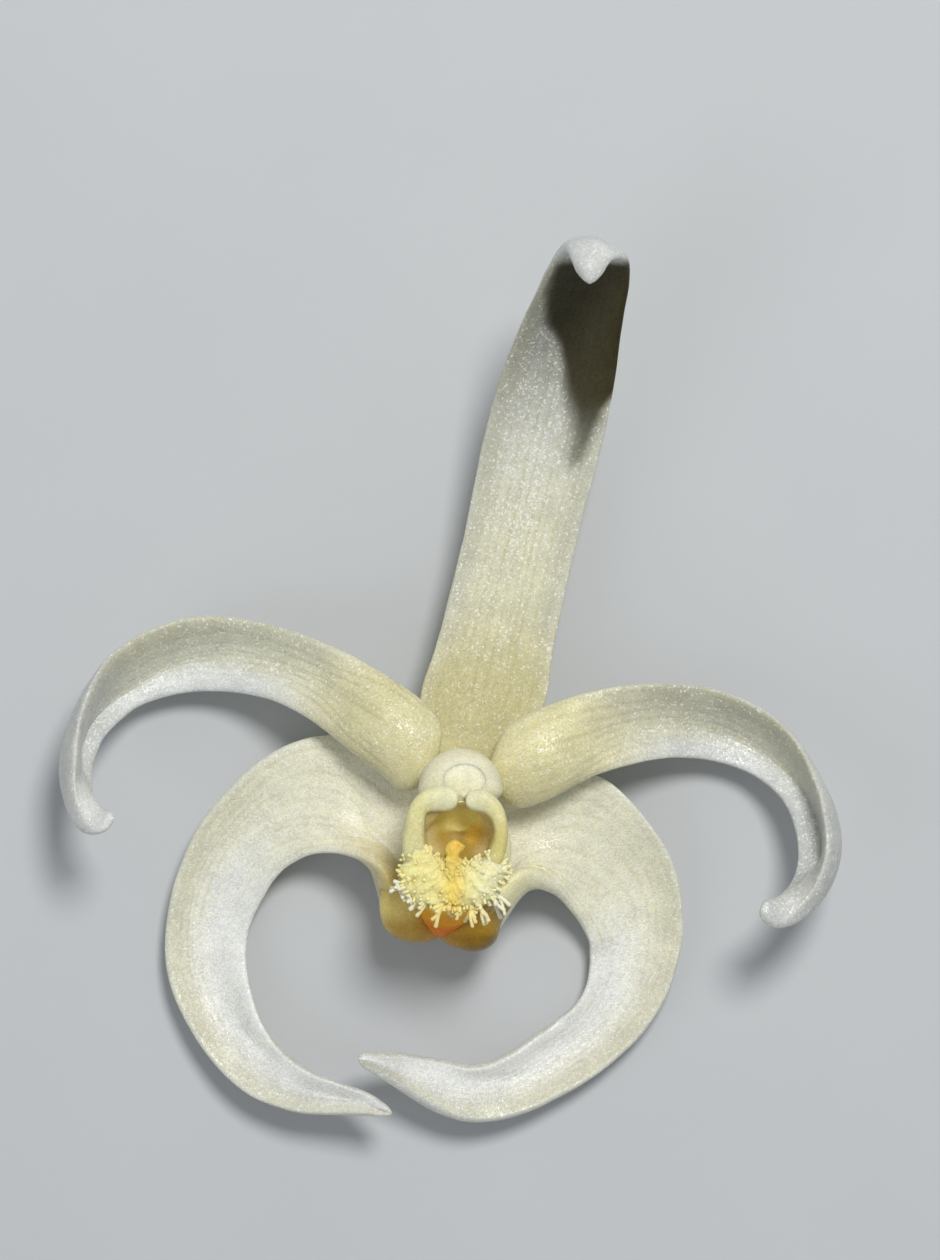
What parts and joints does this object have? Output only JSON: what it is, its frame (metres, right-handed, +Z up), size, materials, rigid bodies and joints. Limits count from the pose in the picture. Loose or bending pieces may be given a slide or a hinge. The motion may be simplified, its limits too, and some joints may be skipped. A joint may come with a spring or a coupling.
{
  "type": "dendrobium orchid flower",
  "caption": "Single cream dendrobium orchid flower, picked and lying on its back with its hooked sepals and petals spread.",
  "frame": {"origin": "on the surface the flower lies on, under the middle of its footprint", "axes": "+Z up, the way the flower faces; +Y towards the tip of the dorsal sepal; +X towards the petal on the right as seen from the front"},
  "size_m": [0.0496, 0.056, 0.0191],
  "materials": {
    "tepal_flesh": "satin",
    "lip_flesh": "satin",
    "column_flesh": "satin",
    "anther_flesh": "satin",
    "pollinia_wax": "gloss",
    "pedicel_flesh": "satin"
  },
  "bodies": {
    "root": {"dorsal_sepal": "tepal_flesh", "petal_left": "tepal_flesh", "petal_right": "tepal_flesh", "lateral_sepal_left": "tepal_flesh", "lateral_sepal_right": "tepal_flesh", "lip": "lip_flesh", "column": "column_flesh", "anther_cap": "anther_flesh", "pollinia_left": "pollinia_wax", "pollinia_right": "pollinia_wax", "pedicel_ovary": "pedicel_flesh"}
  },
  "joints": []
}
